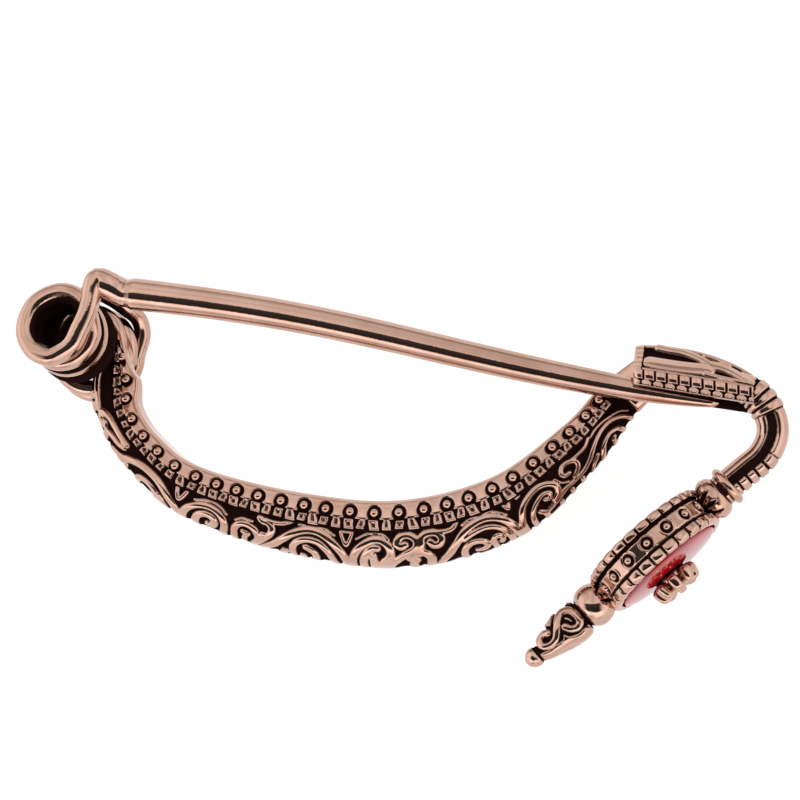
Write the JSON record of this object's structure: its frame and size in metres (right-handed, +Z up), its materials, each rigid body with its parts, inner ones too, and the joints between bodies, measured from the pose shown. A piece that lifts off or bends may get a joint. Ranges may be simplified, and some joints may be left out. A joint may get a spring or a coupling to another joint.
{
  "type": "bronze fibula",
  "caption": "Arched bronze brooch with a coiled spring, a long pin held in a catch and a turned-back foot with a red cabochon in a round setting; it fastens cloth.",
  "frame": {"origin": "centre of the footprint at the ground, with the brooch lying on its side", "axes": "+X from the spring to the foot, +Y from the bow to the pin, +Z up, across the brooch"},
  "size_m": [0.0802, 0.042, 0.0147],
  "materials": {
    "bronze": "polished rose bronze with dark patina in the recesses",
    "red_stone": "polished deep red"
  },
  "bodies": {
    "fibula": {"bow": "bronze", "spring": "bronze", "cabochon": "red_stone", "rosette": "bronze"},
    "pin": {"pin": "bronze"}
  },
  "joints": [
    {"name": "pin_spring", "type": "hinge", "parent": "fibula", "child": "pin", "pos_m": [-0.03488, 0.01466, 0.0068], "axis": [0, 0, -1], "range_deg": [0, 1.4], "stiffness_Nm_per_rad": 0.4, "springref_deg": -5.73}
  ]
}
